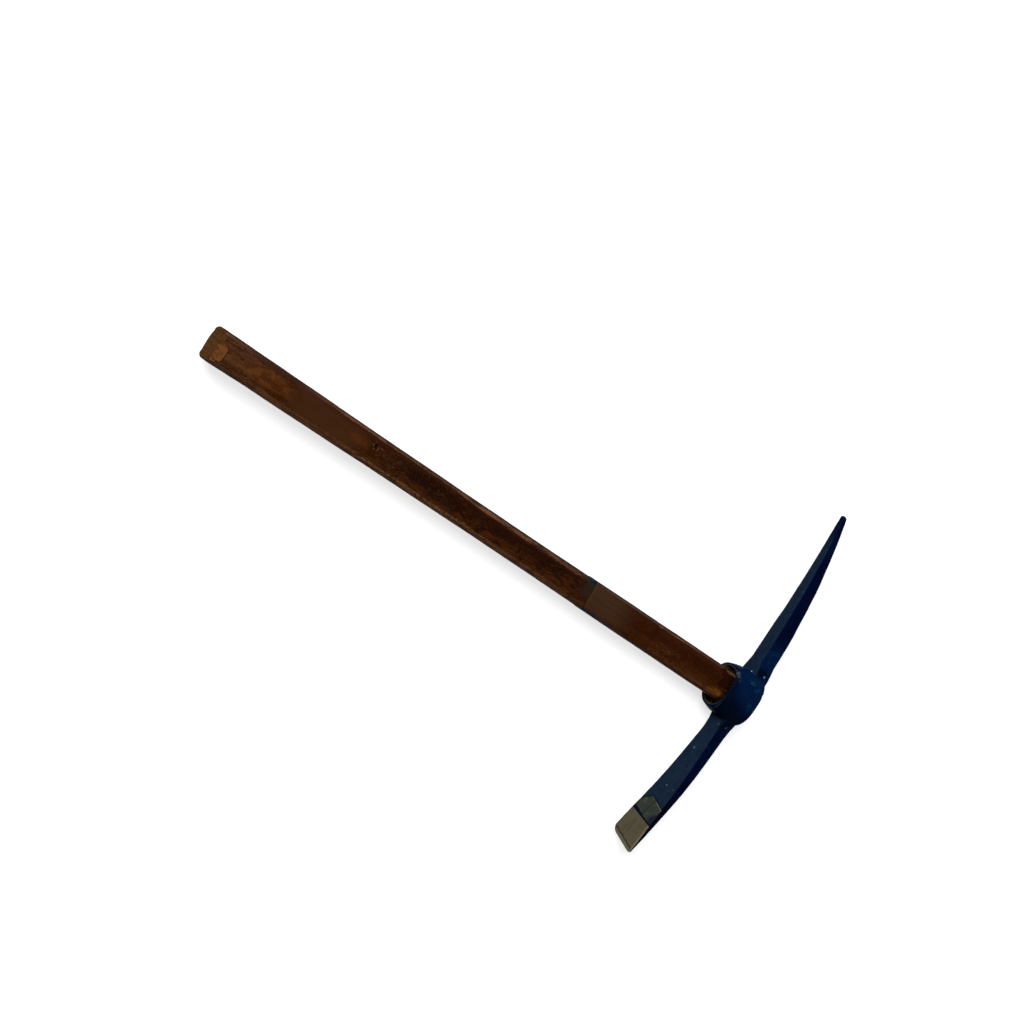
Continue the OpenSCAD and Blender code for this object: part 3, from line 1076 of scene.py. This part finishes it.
def build_film():
    """The wrapped film: blue along its sides, rubbed thin on its flat faces and far end."""
    mesh = welded_copy("sleeve")
    film = add_piece("wrapped_film", mesh)
    work = bmesh.new()
    work.from_mesh(mesh)
    long_edges = [edge for edge in work.edges
                  if abs(edge.verts[0].co.x - edge.verts[1].co.x) > LONG_EDGE * MM]
    bmesh.ops.subdivide_edges(work, edges=long_edges, cuts=EDGE_CUTS, use_grid_fill=True)
    work.to_mesh(mesh)
    work.free()
    mesh.shade_smooth()

    points = local_points(mesh)
    normals = vertex_normals(mesh)
    outward = np.sum(normals[:, 1:] * points[:, 1:], axis=1) > 0
    thinned = FILM_RUBBED + FAR_END_RUBBED * smoothstep(points[:, 0], film_end_x - 50, film_end_x)
    thinned += lumpy(points, FILM_LUMPS)
    points -= normals * (thinned * outward)[:, None]
    depth = section_depth(points)
    far_share = (points[:, 0] - film_start_x) / (film_end_x - film_start_x)
    slant = film_edge(points[:, 1] - STICK_Y) - film_start_x
    points[:, 0] += slant * (1 - far_share)
    move_points(mesh, points)
    torn = smoothstep(points[:, 1], -6, -10) * smoothstep(far_share, 0.3, 0.15)
    keep(mesh, depth=depth, torn=TORN_REACH * torn)
    mesh.materials.append(film_material())
    return film


# Stage

FLOOR_HALF = 40
FLOOR_GREY = (0.6, 0.6, 0.6, 1)
FLOOR_GLOW = 0.66
# The dome fades from full to dim strength between two heights on a unit sphere
DOME_HEIGHTS = (0.02, 0.22)
DOME_STRENGTHS = (1, 0.1)
# Soft lamps, as names, strengths, widths in degrees and directions toward them
LAMPS = (("key", 3.6, 30, (-0.72, 0.33, 0.61)),
         ("fill", 0.5, 60, (0.7, -0.3, 0.65)))
WHITE = (1, 1, 1, 1)
# The camera that the photograph was taken with
LENS_PIXELS = 2200
IMAGE_PIXELS = 1024
SENSOR = 36
CAMERA_TILT = math.radians(38)
CAMERA_YAW = math.radians(0.7)
CAMERA_ROLL = math.radians(33.82)
EYE_PIXEL = (733.4, 693.1)
EYE_DEPTH = 2.70417


def build_floor():
    """A wide pale floor."""
    mesh = bpy.data.meshes.new("floor")
    corners = [(-1, -1), (1, -1), (1, 1), (-1, 1)]
    mesh.from_pydata([(x * FLOOR_HALF, y * FLOOR_HALF, 0) for x, y in corners], [], [(0, 1, 2, 3)])
    floor = add_piece("floor", mesh)
    pale = Material("pale_floor")
    path = pale.add("ShaderNodeLightPath").outputs
    seen = pale.math("MAXIMUM", path["Is Camera Ray"],
                     pale.math("MAXIMUM", path["Is Glossy Ray"], path["Is Transmission Ray"]))
    pale.set(Base_Color=FLOOR_GREY,
             Roughness=1.0,
             Specular_IOR_Level=0.0,
             Emission_Color=WHITE,
             Emission_Strength=pale.product(seen, FLOOR_GLOW))
    mesh.materials.append(pale.data)


def build_light():
    """A wide soft key light from the grip side, under a dome that is white low down."""
    world = bpy.data.worlds.new("studio")
    bpy.context.scene.world = world
    world.use_nodes = True
    nodes, links = world.node_tree.nodes, world.node_tree.links
    direction = nodes.new("ShaderNodeTexCoord")
    split = nodes.new("ShaderNodeSeparateXYZ")
    fade = nodes.new("ShaderNodeMapRange")
    fade.interpolation_type = "SMOOTHSTEP"
    names = ("From Min", "From Max", "To Min", "To Max")
    for name, number in zip(names, DOME_HEIGHTS + DOME_STRENGTHS):
        fade.inputs[name].default_value = number
    links.new(direction.outputs["Generated"], split.inputs[0])
    links.new(split.outputs["Z"], fade.inputs["Value"])
    links.new(fade.outputs["Result"], nodes["Background"].inputs["Strength"])
    nodes["Background"].inputs["Color"].default_value = WHITE

    for name, energy, soft, toward in LAMPS:
        light = bpy.data.lights.new(name, "SUN")
        light.energy = energy
        light.angle = math.radians(soft)
        lamp = bpy.data.objects.new(name, light)
        lamp.rotation_euler = Vector(toward).to_track_quat("Z", "Y").to_euler()
        bpy.context.scene.collection.objects.link(lamp)


def build_camera():
    """The camera of the photograph, set by where it sees the eye."""
    along = Vector((math.cos(CAMERA_TILT), 0, math.sin(CAMERA_TILT)))
    turn = Matrix.Rotation(CAMERA_YAW, 3, along)
    across = turn @ Vector((0, 1, 0))
    forward = turn @ Vector((math.sin(CAMERA_TILT), 0, -math.cos(CAMERA_TILT)))
    right = along * math.cos(CAMERA_ROLL) + across * math.sin(CAMERA_ROLL)
    down = along * math.sin(CAMERA_ROLL) - across * math.cos(CAMERA_ROLL)
    shift = [(pixel - IMAGE_PIXELS / 2) / LENS_PIXELS * EYE_DEPTH for pixel in EYE_PIXEL]
    data = bpy.data.cameras.new("camera")
    data.sensor_width = SENSOR
    data.lens = SENSOR * LENS_PIXELS / IMAGE_PIXELS
    camera = bpy.data.objects.new("camera", data)
    basis = Matrix((right, -down, -forward)).transposed().to_4x4()
    place = eye - right * shift[0] - down * shift[1] - forward * EYE_DEPTH
    camera.matrix_world = Matrix.Translation(place) @ basis
    bpy.context.scene.collection.objects.link(camera)
    bpy.context.scene.camera = camera


def dress(piece, body, node):
    """Puts a piece in its CAD node's place."""
    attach(piece, body)
    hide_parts(node)


dress(build_head(), "head", "pick_head")
dress(build_handle(), "handle", "handle")
dress(build_film(), "handle", "sleeve")
build_floor()
build_light()
build_camera()
bpy.context.scene.view_settings.view_transform = "Standard"
